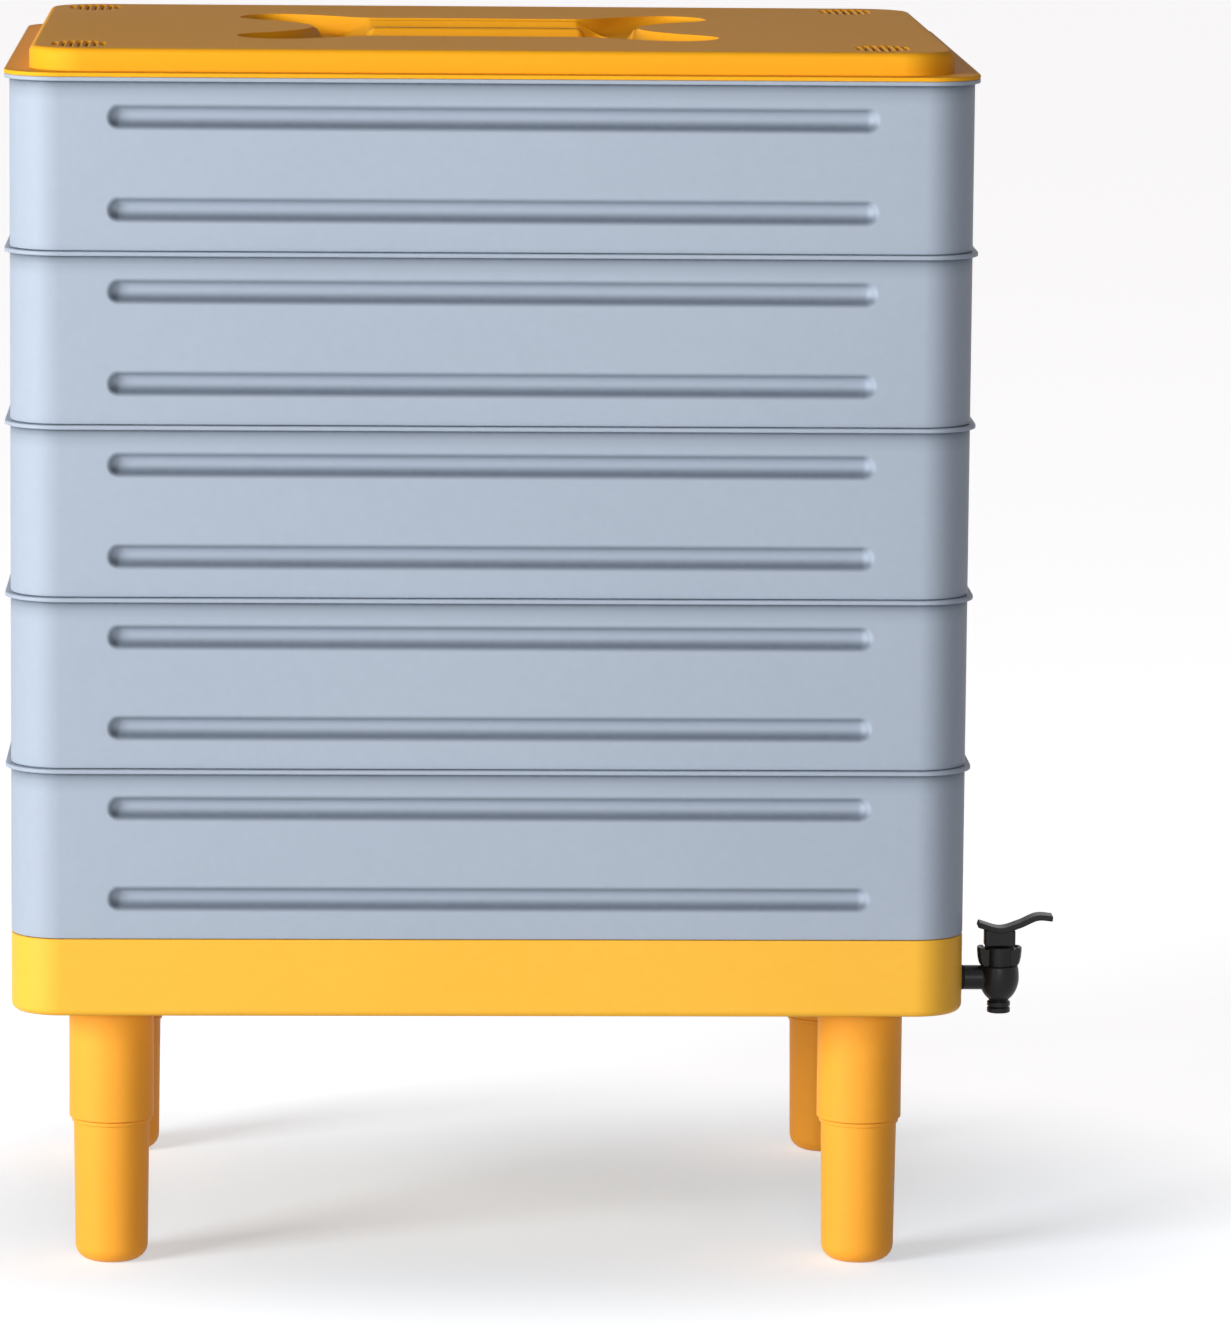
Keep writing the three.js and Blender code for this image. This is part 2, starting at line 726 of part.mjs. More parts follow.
const legNames = ['front_left', 'front_right', 'back_left', 'back_right'];
const upperLeg = upperLegGeometry();
const lowerLeg = lowerLegGeometry();
legPlaces().forEach(([x, y], index) => {
  const upper = piece(`upper_leg_${legNames[index]}`, upperLeg, orange);
  const lower = piece(`lower_leg_${legNames[index]}`, lowerLeg, orange);
  upper.position.set(x, y, legHeight);
  lower.position.set(x, y, legHeight);
  stack.add(upper, lower);
});

const tap = tapAssembly();
tap.position.set(bodyWidth / 2 + tapStandoff, tapMarginY - bodyDepth / 2, legHeight + tapAxisHeight);
stack.add(tap);

// Tray 1 is the top one
const tray = trayGeometry();
for (let number = 1; number <= trayCount; number++) {
  const level = piece(`tray_${number}`, tray, trayGrey);
  level.position.z = legHeight + sumpHeight + (trayCount - number) * trayPitch;
  stack.add(level);
}

const lid = piece('lid', lidGeometry(), orange);
lid.position.z = legHeight + sumpHeight + trayCount * trayPitch;
stack.add(lid);
stack.position.x = -new THREE.Box3().setFromObject(stack).getCenter(new THREE.Vector3()).x;

export default wormery;
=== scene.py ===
# A stacking wormery: five worm trays under a lid, on a sump with four legs and a drain tap.
# Metres, +Z up, the front towards -Y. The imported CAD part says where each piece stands, and the
# pieces modelled here are drawn in millimetres about their own middle.

import math

import bmesh
import bpy
from mathutils import Matrix, Vector


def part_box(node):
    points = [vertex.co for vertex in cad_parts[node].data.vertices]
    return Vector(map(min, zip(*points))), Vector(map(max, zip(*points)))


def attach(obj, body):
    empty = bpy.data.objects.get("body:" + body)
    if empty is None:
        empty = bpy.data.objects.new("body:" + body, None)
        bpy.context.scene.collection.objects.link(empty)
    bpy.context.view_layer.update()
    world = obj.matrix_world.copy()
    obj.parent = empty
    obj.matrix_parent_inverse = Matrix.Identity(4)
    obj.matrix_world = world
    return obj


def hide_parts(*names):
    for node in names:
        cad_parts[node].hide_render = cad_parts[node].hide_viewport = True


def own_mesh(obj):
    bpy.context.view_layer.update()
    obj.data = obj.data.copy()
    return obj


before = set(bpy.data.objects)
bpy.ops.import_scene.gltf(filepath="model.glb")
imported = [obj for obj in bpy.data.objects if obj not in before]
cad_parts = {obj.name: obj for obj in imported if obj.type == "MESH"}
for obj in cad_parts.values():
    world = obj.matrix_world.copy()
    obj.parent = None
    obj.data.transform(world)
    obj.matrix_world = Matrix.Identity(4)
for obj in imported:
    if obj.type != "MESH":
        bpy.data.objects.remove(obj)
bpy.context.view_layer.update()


# Trays: five alike, injection moulded in blue-grey polypropylene with a satin skin. Each has a rim
# flange, two rows of grip grooves pressed into all four walls, a slotted floor for the worms and a
# ring under the floor that drops into the mouth of the tray below.

MM = 0.001
body_width = 450
body_depth = 350
body_radius = 24
corner_steps = 12
tray_height = 81
tray_gap = 0.3
groove_half = 6.6
groove_arc = 4.3
groove_slope = math.radians(72)
groove_end_margin = 45.2
groove_levels = (19.5, 62.5)
groove_pitch = 0.5
groove_cuts = 14
plain_cuts = [3, 6, 9, 30, 36, 41, 46, 51, 72, 75, 77.4]
# Where the painted shade lies: a dark ledge and a thin crease in each groove, and a band close under the rim
ledge_shade_level = -3.6
ledge_shade_spread = 2.7
crease_shade_level = 5.1
crease_shade_spread = 0.8
rim_shade_depth = 1.8
rim_shade_reach = 9
tray_wall = 3
tray_floor_top = 3.3
rim_reach = 2.6
rim_foot = 79
ring_outside = -4
ring_inside = -6.4
ring_depth = 5.7
ring_chamfer = 0.4
slot_steps = 16
floor_slot_length = 40
floor_slot_width = 6
floor_slot_columns = 6
floor_slot_rows = 4
floor_slot_margin = 45
same_place = 0.001
merge_distance = 0.0005
sharp_angle = math.radians(48)


def flat_outline(width, depth, radius, steps):
    """One flat face round the origin, a rectangle with round corners, in millimetres."""
    shell = bmesh.new()
    bmesh.ops.create_grid(shell, x_segments=1, y_segments=1, size=1)
    for vertex in shell.verts:
        vertex.co.x = math.copysign(width / 2, vertex.co.x)
        vertex.co.y = math.copysign(depth / 2, vertex.co.y)
    bmesh.ops.bevel(shell, geom=shell.verts[:], offset=radius, offset_type="OFFSET", segments=steps,
                    profile=0.5, affect="VERTICES", material=-1)
    return shell


def cut_across(shell, normal, places):
    """Cuts the whole shell by parallel planes."""
    for place in places:
        geometry = shell.verts[:] + shell.edges[:] + shell.faces[:]
        bmesh.ops.bisect_plane(shell, geom=geometry, plane_co=Vector(normal) * place, plane_no=normal)


def bare_loop(shell):
    """Leaves only the shell's outline, and keeps where each point began in a layer of its own."""
    bmesh.ops.delete(shell, geom=shell.faces[:], context="FACES_KEEP_BOUNDARY")
    home = shell.verts.layers.float_vector.new("home")
    for vertex in shell.verts:
        vertex[home] = vertex.co
    return shell.edges[:]


def forget_homes(shell):
    """Drops the layer in which the points keep where they began."""
    home = shell.verts.layers.float_vector.get("home")
    if home:
        shell.verts.layers.float_vector.remove(home)


def points_in(geometry):
    """The points among what an operator made."""
    return [item for item in geometry if isinstance(item, bmesh.types.BMVert)]


def edges_in(geometry):
    """The edges among what an operator made."""
    return [item for item in geometry if isinstance(item, bmesh.types.BMEdge)]


def draw_loop(shell, loop, place, layer=None):
    """Extrudes a loop and puts each new point at place(its home, or its value in another layer);
    gives the new loop."""
    layer = layer or shell.verts.layers.float_vector["home"]
    made = bmesh.ops.extrude_edge_only(shell, edges=loop)["geom"]
    fresh = set(points_in(made))
    for vertex in fresh:
        vertex.co = place(vertex[layer])
    return [edge for edge in edges_in(made) if all(vertex in fresh for vertex in edge.verts)]


def grown(point, width, depth, radius, reach):
    """A point of a rounded outline moved outwards by reach, square to the outline."""
    x = max(radius - width / 2, min(width / 2 - radius, point.x))
    y = max(radius - depth / 2, min(depth / 2 - radius, point.y))
    away = Vector((point.x - x, point.y - y)).normalized()
    return Vector((x, y)) + away * (radius + reach)


def groove_end(span):
    """How far from a wall's middle the straight part of its grooves ends."""
    return span / 2 - groove_end_margin - groove_half


def groove_depth(along, span, height):
    """How deep the grip grooves are at a place on a wall: a round trough between soft lips."""
    slope = math.sin(groove_slope)
    trough = groove_arc / slope
    lip = (groove_half - groove_arc) / slope
    full = (trough + lip) * (1 - math.cos(groove_slope))
    depth = 0.0
    for level in groove_levels:
        away = math.hypot(max(abs(along) - groove_end(span), 0), height - level)
        if away < groove_arc:
            depth = full - (trough - math.sqrt(trough ** 2 - away ** 2))
        elif away < groove_half:
            depth = lip - math.sqrt(lip ** 2 - (groove_half - away) ** 2)
    return depth


def painted_shade(along, span, height):
    """How much painted shade darkens a place on a wall: in the grooves and close under the rim."""
    shade_amount = 0.0
    past = max(abs(along) - groove_end(span), 0)
    for level in groove_levels:
        rise = height - level
        inside = max(0, 1 - (math.hypot(past, rise) / groove_half) ** 8)
        ledge = math.exp(-((rise - ledge_shade_level) / ledge_shade_spread) ** 2)
        crease = 0.4 * math.exp(-((rise - crease_shade_level) / crease_shade_spread) ** 2)
        shade_amount += inside * (ledge + crease)
    if height < rim_foot:
        below = rim_foot - height
        shade_amount += 1.1 * math.exp(-below / rim_shade_depth) + 0.4 * max(0, 1 - below / rim_shade_reach)
    return shade_amount


def wall_place(point):
    """How far along its wall a point of the body's outline lies, and how long that wall is. A point
    of a corner is given as one far beyond a wall's end, where there are no grooves."""
    if abs(point.y) > body_depth / 2 - same_place:
        return point.x, body_width
    if abs(point.x) > body_width / 2 - same_place:
        return point.y, body_depth
    return body_width, body_width


def on_body(reach, height, grooved=False):
    """Where a point of the body's outline goes, for draw_loop."""
    def place(point):
        dip = groove_depth(*wall_place(point), height) if grooved else 0
        spot = grown(point, body_width, body_depth, body_radius, reach - dip)
        return Vector((spot.x, spot.y, height))
    return place


def fan_columns(span):
    """Where a wall is cut upright, so that the round ends of its grooves come out smooth."""
    end = groove_end(span)
    places = [end + step * groove_pitch for step in range(-2, round(groove_half / groove_pitch) + 3)]
    places += [end / 3, end * 2 / 3, end - 4, end + groove_half + 6]
    return sorted(places + [-place for place in places] + [0])


def draw_profile(shell, loop, stations):
    """Draws a loop through a list of (reach, height) or (reach, height, grooved) stations."""
    for station in stations:
        loop = draw_loop(shell, loop, on_body(*station))
    return loop


def ring_of_points(shell, radius, steps):
    """A level circle that has no point on its axes, so that it parts cleanly into two halves."""
    turn = Matrix.Rotation(math.pi / steps, 4, "Z")
    return bmesh.ops.create_circle(shell, cap_ends=False, radius=radius, segments=steps, matrix=turn)["verts"]


def slot_loop(shell, middle, length, width):
    """An upright slot's outline with round ends, lying along X."""
    made = ring_of_points(shell, width / 2, slot_steps)
    home = shell.verts.layers.float_vector["home"]
    for vertex in made:
        vertex.co.x += math.copysign((length - width) / 2, vertex.co.x)
        vertex.co += middle
        vertex[home] = vertex.co
    return list({edge for vertex in made for edge in vertex.link_edges})


def finished_mesh(shell, name, finish):
    """Closes a shell, turns its faces out, marks its sharp edges and gives it its finish, in metres."""
    forget_homes(shell)
    bmesh.ops.remove_doubles(shell, verts=shell.verts[:], dist=merge_distance)
    bmesh.ops.recalc_face_normals(shell, faces=shell.faces[:])
    bmesh.ops.scale(shell, vec=(MM, MM, MM), verts=shell.verts[:])
    for edge in shell.edges:
        if len(edge.link_faces) == 2 and edge.calc_face_angle() > sharp_angle:
            edge.smooth = False
    for face in shell.faces:
        face.smooth = True
    mesh = bpy.data.meshes.new(name)
    shell.to_mesh(mesh)
    shell.free()
    mesh.materials.append(finish)
    return mesh


def below_top(box, height):
    """The middle of a CAD piece's box, so many millimetres below its top."""
    low, high = box
    return Vector(((low.x + high.x) / 2, (low.y + high.y) / 2, high.z - height * MM))


def fitted_piece(mesh, name, place, body, slot, *nodes):
    """Puts a mesh at its place on a body of the part, where it stands for CAD nodes."""
    mesh.transform(Matrix.Translation(place))
    piece = bpy.data.objects.new(name, mesh)
    bpy.context.scene.collection.objects.link(piece)
    even = piece.modifiers.new("even_shading", "WEIGHTED_NORMAL")
    even.keep_sharp = True
    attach(piece, body)
    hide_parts(*nodes)
    return piece


class Port:
    """A socket of a shader that can be used in plain sums, and that makes the nodes after it."""

    def __init__(self, tree, socket=None):
        self.tree = tree
        self.socket = socket

    def node(self, kind, settings, values, output=0):
        """Adds a node, with its settings first, then the values or links of its sockets."""
        node = self.tree.nodes.new(kind)
        for key, value in settings.items():
            setattr(node, key, value)
        for key, value in values.items():
            if isinstance(value, Port):
                self.tree.links.new(value.socket, node.inputs[key])
            else:
                node.inputs[key].default_value = value
        return Port(self.tree, node.outputs[output])

    def maths(self, operation, first, second):
        """A sum of two values, each a port or a number."""
        return self.node("ShaderNodeMath", {"operation": operation}, {0: first, 1: second})

    def __add__(self, other):
        return self.maths("ADD", self, other)

    def __radd__(self, other):
        return self.maths("ADD", other, self)

    def __sub__(self, other):
        return self.maths("SUBTRACT", self, other)

    def __rsub__(self, other):
        return self.maths("SUBTRACT", other, self)

    def __mul__(self, other):
        return self.maths("MULTIPLY", self, other)

    def __rmul__(self, other):
        return self.maths("MULTIPLY", other, self)

    def noise(self, scale, detail):
        """Soft noise from 0 to 1 on this port's place, with so many waves to the metre."""
        return self.node("ShaderNodeTexNoise", {}, {"Vector": self, "Scale": scale, "Detail": detail})

    def ramp(self, start, end, low=0, high=1):
        """A value that goes softly from low to high while this port goes from start to end."""
        return self.node("ShaderNodeMapRange", {"interpolation_type": "SMOOTHSTEP"},
                         {"Value": self, "From Min": start, "From Max": end, "To Min": low, "To Max": high})

    def blend(self, first, second):
        """A colour between two others, with this port as the share of the second."""
        return self.node("ShaderNodeMix", {"data_type": "RGBA", "clamp_factor": True},
                         {"Factor": self, 6: first, 7: second}, 2)


def linear(red, green, blue):
    """A colour as it is read off a screen, as the shader wants it."""
    def channel(value):
        share = value / 255
        return share / 12.92 if share <= 0.04045 else ((share + 0.055) / 1.055) ** 2.4
    return (channel(red), channel(green), channel(blue), 1)


def moulded_plastic(name, dull, bright, roughness, grain, specular, shade_tint=None):
    """Moulded plastic: cloudy pigment, a fine cast grain and slight scuffs in its satin skin.
    Where a shade colour is given, the mesh's own layer of painted shade darkens the colour towards it."""
    finish = bpy.data.materials.new(name)
    finish.use_nodes = True
    tree = finish.node_tree
    shader = tree.nodes["Principled BSDF"]
    shader.inputs["Specular IOR Level"].default_value = specular
    place = Port(tree).node("ShaderNodeTexCoord", {}, {}, "Object")
    clouds = place.noise(7, 2)
    pigment = place.noise(260, 3)
    skin = place.noise(grain, 2)
    stretched = place.node("ShaderNodeMapping", {}, {"Vector": place, "Scale": (18, 260, 34)})
    scuffs = stretched.noise(1, 4).ramp(0.62, 0.78)
    share = clouds * 0.55 + pigment * 0.45
    links = tree.links
    colour = share.blend(dull, bright)
    if shade_tint:
        # Painted shade from the mesh's own layer darkens the colour towards the shade colour
        shade_amount = place.node("ShaderNodeAttribute", {"attribute_name": "shade_amount"}, {}, "Fac")
        colour = (shade_amount * (0.54 + pigment * 0.16)).blend(colour, shade_tint)
    links.new(colour.socket, shader.inputs["Base Color"])
    rough = roughness + (clouds - 0.5) * 0.08 + (skin - 0.5) * 0.12 - scuffs * 0.06
    links.new(rough.socket, shader.inputs["Roughness"])
    height = skin + pigment * 0.6 - scuffs * 0.5
    bump = height.node("ShaderNodeBump", {}, {"Strength": 0.14, "Distance": 0.00012, "Height": height})
    links.new(bump.socket, shader.inputs["Normal"])
    return finish


# The third colour is painted shade, a dark blue-grey laid into the grooves and under the rims
tray_grey = moulded_plastic("tray_plastic", linear(161, 173, 188), linear(174, 185, 199), 0.5, 1500, 0.3,
                            linear(48, 60, 74))

tray_shell = flat_outline(body_width, body_depth, body_radius, corner_steps)
cut_across(tray_shell, (1, 0, 0), fan_columns(body_width))
cut_across(tray_shell, (0, 1, 0), fan_columns(body_depth))
foot_loop = bare_loop(tray_shell)
for vertex in tray_shell.verts:
    vertex.co = on_body(-0.8, tray_gap)(vertex.co.copy())

groove_rows = [level + step * groove_pitch
               for level in groove_levels for step in range(-groove_cuts, groove_cuts + 1)]
wall_heights = sorted(plain_cuts + groove_rows)
rim_profile = [
    (0, rim_foot - 0.4),
    (0.12, rim_foot - 0.12),
    (0.5, rim_foot),
    (rim_reach - 0.5, rim_foot),
    (rim_reach - 0.15, rim_foot + 0.15),
    (rim_reach, rim_foot + 0.5),
    (rim_reach, tray_height - 0.5),
    (rim_reach - 0.15, tray_height - 0.15),
    (rim_reach - 0.5, tray_height),
    (0.8 - tray_wall, tray_height),
    (0.25 - tray_wall, tray_height - 0.25),
    (-tray_wall, tray_height - 0.8),
    (-tray_wall, plain_cuts[-1]),
]
inside_heights = [height for height in wall_heights[::2] if 5 < height < plain_cuts[-1]]
ring_profile = [
    (ring_outside, tray_gap),
    (ring_outside, ring_chamfer - ring_depth),
    (ring_outside - ring_chamfer, -ring_depth),
    (ring_inside + ring_chamfer, -ring_depth),
    (ring_inside, ring_chamfer - ring_depth),
    (ring_inside, tray_gap),
]
floor_loop = draw_profile(tray_shell, foot_loop, [
    (-0.3, tray_gap + 0.15),
    (0, tray_gap + 0.8),
    *((0, height, True) for height in wall_heights),
    *rim_profile,
    *((-tray_wall, height, True) for height in reversed(inside_heights)),
    (-3.1, 5.6),
    (-3.7, 4.3),
    (-4.9, 3.5),
    (-6.5, tray_floor_top),
])
under_loop = draw_profile(tray_shell, foot_loop, ring_profile)
slot_tops = []
slot_feet = []
across = (body_width - 2 * floor_slot_margin) / floor_slot_columns
along = (body_depth - 2 * floor_slot_margin) / floor_slot_rows
for column in range(floor_slot_columns):
    for row in range(floor_slot_rows):
        middle = Vector(((column - (floor_slot_columns - 1) / 2) * across,
                         (row - (floor_slot_rows - 1) / 2) * along, tray_floor_top))
        top = slot_loop(tray_shell, middle, floor_slot_length, floor_slot_width)
        slot_tops += top
        slot_feet += draw_loop(tray_shell, top, lambda point: Vector((point.x, point.y, tray_gap)))
bmesh.ops.triangle_fill(tray_shell, use_beauty=True, edges=floor_loop + slot_tops)
bmesh.ops.triangle_fill(tray_shell, use_beauty=True, edges=under_loop + slot_feet)
# Painted shade in the grooves and under the rim, kept for each point in a layer of the mesh
shade_layer = tray_shell.verts.layers.float.new("shade_amount")
home = tray_shell.verts.layers.float_vector["home"]
for vertex in tray_shell.verts:
    vertex[shade_layer] = painted_shade(*wall_place(vertex[home]), vertex.co.z)
tray_mesh = finished_mesh(tray_shell, "tray", tray_grey)

for number in range(1, 6):
    tray_place = below_top(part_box(f"tray_{number}"), tray_height)
    fitted_piece(tray_mesh.copy(), f"grooved_tray_{number}", tray_place,
                 f"tray_{number}", "grey_plastic", f"tray_{number}")


# Sump: one shallow open box in amber polypropylene that catches the liquid. Its bottom edge is rounded,
# four pegs under its floor hold the legs, and the tap passes through its right wall.

sump_height = 37
sump_round = 3.5
lip_round = 0.6
peg_radius = 15.7
peg_length = 14
peg_root = 1.5
peg_steps = 48
leg_margin = 46.5
round_steps = 4

# The same amber plastic as the lid, made lighter here: painted light for the brighter light on the sump
sump_lit_amber = moulded_plastic("pale_amber_plastic", linear(251, 183, 52), linear(255, 196, 66),
                             0.46, 1300, 0.26)


def quarter(reach, height, radius, start, steps=round_steps):
    """Stations of a quarter round about a centre, from a start angle a quarter turn on."""
    turns = [start + step * math.pi / 2 / steps for step in range(steps + 1)]
    return [(reach + radius * math.cos(turn), height + radius * math.sin(turn)) for turn in turns]


def rounded_profile(corners, steps=round_steps):
    """Points of a profile from (radius, height, rounding) corners, each corner rounded."""
    points = []
    for index, (radius, height, rounding) in enumerate(corners):
        here = Vector((radius, height))
        if not rounding:
            points.append(here)
            continue
        back = (Vector(corners[index - 1][:2]) - here).normalized()
        onward = (Vector(corners[index + 1][:2]) - here).normalized()
        half = back.angle(onward) / 2
        reach = rounding / math.tan(half)
        centre = here + (back + onward).normalized() * rounding / math.sin(half)
        start = here + back * reach - centre
        finish = here + onward * reach - centre
        points += [centre + start.slerp(finish, step / steps) * rounding for step in range(steps + 1)]
    return points


def add_turned(shell, points, steps, place=(0, 0, 0), turn=None):
    """Spins a profile of (radius, height) points round Z into a shell, then turns and places it."""
    made = bmesh.new()
    profile = [made.verts.new((point[0], 0, point[1])) for point in points]
    edges = [made.edges.new(pair) for pair in zip(profile, profile[1:])]
    bmesh.ops.spin(made, geom=profile + edges, cent=(0, 0, 0), axis=(0, 0, 1), dvec=(0, 0, 0),
                   angle=2 * math.pi, steps=steps, use_merge=True)
    bmesh.ops.remove_doubles(made, verts=made.verts[:], dist=merge_distance)
    bmesh.ops.recalc_face_normals(made, faces=made.faces[:])
    if turn:
        bmesh.ops.transform(made, matrix=turn, verts=made.verts[:])
    bmesh.ops.translate(made, vec=place, verts=made.verts[:])
    add_shell(shell, made)


def add_shell(shell, made):
    """Puts a finished shell beside what is already there."""
    mesh = bpy.data.meshes.new("part_of_a_piece")
    made.to_mesh(mesh)
    made.free()
    shell.from_mesh(mesh)
    bpy.data.meshes.remove(mesh)


sump_shell = flat_outline(body_width, body_depth, body_radius, corner_steps)
sump_foot = bare_loop(sump_shell)
for vertex in sump_shell.verts:
    vertex.co = on_body(-sump_round, 0)(vertex.co.copy())
stations = quarter(-sump_round, sump_round, sump_round, -math.pi / 2)[1:]
stations += quarter(-lip_round, sump_height - lip_round, lip_round, 0)
stations += quarter(lip_round - tray_wall, sump_height - lip_round, lip_round, math.pi / 2)
stations += [(-tray_wall, 6.5), (-3.3, 4.9), (-4.2, 3.6), (-5.4, 3.1), (-7, 3)]
sump_floor = draw_profile(sump_shell, sump_foot, stations)
bmesh.ops.triangle_fill(sump_shell, use_beauty=True, edges=sump_floor)
bmesh.ops.triangle_fill(sump_shell, use_beauty=True, edges=sump_foot)
bmesh.ops.recalc_face_normals(sump_shell, faces=sump_shell.faces[:])
forget_homes(sump_shell)
leg_x = body_width / 2 - leg_margin
leg_y = body_depth / 2 - leg_margin
peg = rounded_profile([
    (0, -peg_length, 0),
    (peg_radius, -peg_length, 1),
    (peg_radius, peg_root, 0),
    (0, peg_root, 0),
])
for side_x in (-1, 1):
    for side_y in (-1, 1):
        add_turned(sump_shell, peg, peg_steps, (side_x * leg_x, side_y * leg_y, 0))
sump_place = below_top(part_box("sump_base"), sump_height)
fitted_piece(finished_mesh(sump_shell, "sump", sump_lit_amber), "sump_box", sump_place,
             "base", "orange_plastic", "sump_base")


# Legs: each is two turned-looking mouldings pushed together. The upper one is a plain sleeve on the
# sump's peg, the lower one a slightly tapered foot with a collar that closes the sleeve.

sleeve_radius = 20.1
sleeve_length = 56.5
leg_height = 126
bore_middle = -30
collar_radius = 18.9
collar_height = 1.9
spigot_length = 24
shin_top_radius = 18
shin_foot_radius = 17.2
shin_bore = 12.7
shin_floor = 3
foot_round = 7.6
leg_edge = 0.4
leg_round_steps = 6
leg_steps = 96

# The same amber plastic again, made redder here: painted shade for the deeper hue of the legs' shaded sides
leg_shaded_amber = moulded_plastic("leg_plastic", linear(249, 166, 45), linear(255, 178, 57),
                            0.5, 1300, 0.24)

for corner in ("front_left", "front_right", "back_left", "back_right"):
    leg_place = below_top(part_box(f"upper_leg_{corner}"), 0)
    leg_place.z = sump_place.z
    sleeve = bmesh.new()
    bore = peg_radius + tray_gap
    add_turned(sleeve, rounded_profile([
        (bore, bore_middle, 0),
        (bore, -sleeve_length, 0.5),
        (sleeve_radius, -sleeve_length, 0.7),
        (sleeve_radius, -tray_gap, leg_edge),
        (bore, -tray_gap, leg_edge),
        (bore, bore_middle, 0),
    ]), leg_steps)
    fitted_piece(finished_mesh(sleeve, "leg_sleeve", leg_shaded_amber), f"sleeve_{corner}", leg_place,
                 "base", "orange_plastic", f"upper_leg_{corner}")
    shin = bmesh.new()
    shoulder = -sleeve_length - tray_gap
    add_turned(shin, rounded_profile([
        (0, -leg_height, 0),
        (shin_foot_radius, -leg_height, foot_round),
        (shin_top_radius, shoulder - collar_height, leg_edge),
        (collar_radius, shoulder - collar_height, leg_edge),
        (collar_radius, shoulder, leg_edge),
        (peg_radius, shoulder, 0.3),
        (peg_radius, shoulder + spigot_length, 0.8),
        (shin_bore, shoulder + spigot_length, 0.8),
        (shin_bore, 2 * shin_floor - leg_height, 2),
        (shin_bore - shin_floor, shin_floor - leg_height, 1),
        (0, shin_floor - leg_height, 0),
    ], leg_round_steps), leg_steps)
    fitted_piece(finished_mesh(shin, "leg_foot", leg_shaded_amber), f"foot_{corner}", leg_place,
                 "base", "orange_plastic", f"lower_leg_{corner}")


# Lid: one amber moulding, a thin skin with a raised plate on a flange. A dog-bone recess with a grip bar
# is let into the plate, and four oval groups of narrow slots near its corners let air in.

flange_foot = 0.06
flange_top = 2
plate_top = 12.5
plate_inset = 8.9
flange_inside = -plate_inset - 3.2
plate_radius = 26
plate_edge = 3
lid_skin = 2.5
recess_shift = -5.5
recess_depth = 22
recess_draft = 5
recess_foot = 0.86
recess_foot_round = 3.4
lowest_lip = 0.9
straight_cuts = 10
curve_steps = 5
scoop_shares = (0.006, 0.02, 0.045, 0.08, 0.13, 0.2, 0.3, 0.42, 0.56, 0.72, 0.88, 1)
vent_x = 188
vent_y = 135
vent_count = 7
vent_pitch = 3.7
vent_width = 0.9
vent_mouth = 3.1
vent_chamfer = 1.3
vent_length = 40
vent_wall = 4.5
vent_reach = 16
vent_band = 1
vent_steps = 12
bar_length = 106
bar_width = 10
bar_radius = bar_width * 0.42
bar_edge = 1.5
bar_crown = 3.4
bar_end = 6
bar_fall = 5
bar_level_part = 6
bar_steps = 6

amber = moulded_plastic("amber_plastic", linear(248, 171, 26), linear(255, 184, 38), 0.62, 1300, 0.12)

# The recess's corner seen from above: its rim, the rim of the deep part inside it and how deep that lies
recess_rim = [(78.5, 0), (80.5, 12), (86, 26), (96, 40), (108, 52), (114.5, 63), (113, 77), (106, 88),
              (96, 92.5), (84, 89.5), (72, 81.5), (61, 72), (50, 66.2)]
well_rim = [(77, 0), (76.8, 8), (76.3, 18), (75.6, 28), (74.6, 38), (73.5, 47), (72.2, 55), (70.5, 62),
            (68, 67.5), (64.5, 70.5), (60, 70.4), (55, 67.8), (50, 65)]
well_level = [lowest_lip, 2.5, 5, 7.5, 9, 9, 9, 9, 9, 8.5, 7, 4, 1.2]


def smooth_curve(points, before, after, steps):
    """Points along a smooth curve through others; before and after steer its two ends."""
    padded = [before, *points, after]
    curve = []
    for one, two, three, four in zip(padded, padded[1:], padded[2:], padded[3:]):
        for step in range(steps):
            t = step / steps
            curve.append(0.5 * (2 * two + (three - one) * t
                                + (2 * one - 5 * two + 4 * three - four) * t ** 2
                                + (3 * two - one - 3 * three + four) * t ** 3))
    return curve + [points[-1]]


def smooth_corner(corner):
    """A corner's points as a smooth curve, which meets its mirror images smoothly."""
    points = [Vector(point) for point in corner]
    before = Vector((points[1].x, -points[1].y))
    after = Vector((2 * points[-1].x - points[-2].x, points[-1].y))
    return smooth_curve(points, before, after, curve_steps)


def all_round(corner):
    """A corner's points carried round the other three, with the straight sides cut in between."""
    side = [Vector((corner[-1].x * (1 - 2 * step / straight_cuts), corner[-1].y))
            for step in range(1, straight_cuts)]
    upper = corner + side + [Vector((-point.x, point.y)) for point in reversed(corner)]
    return upper + [Vector((point.x, -point.y)) for point in reversed(upper[1:-1])]


rim_curve = all_round(smooth_corner(recess_rim))
well_curve = all_round(smooth_corner(well_rim))
corner_levels = [max(lowest_lip, abs(level))
                 for level in smooth_curve(well_level, well_level[1], well_level[-1], curve_steps)]
upper_levels = corner_levels + [well_level[-1]] * (straight_cuts - 1) + corner_levels[::-1]
levels = upper_levels + upper_levels[-2:0:-1]

lid_shell = bmesh.new()
order = lid_shell.verts.layers.int.new("order")
bowl_points = [lid_shell.verts.new((point.x, point.y, plate_top)) for point in rim_curve]
for index, vertex in enumerate(bowl_points):
    vertex[order] = index
loop = [lid_shell.edges.new((bowl_points[index - 1], vertex)) for index, vertex in enumerate(bowl_points)]
inward = []
for index in range(len(well_curve)):
    ahead = well_curve[(index + 1) % len(well_curve)] - well_curve[index - 1]
    inward.append(Vector((-ahead.y, ahead.x)).normalized())


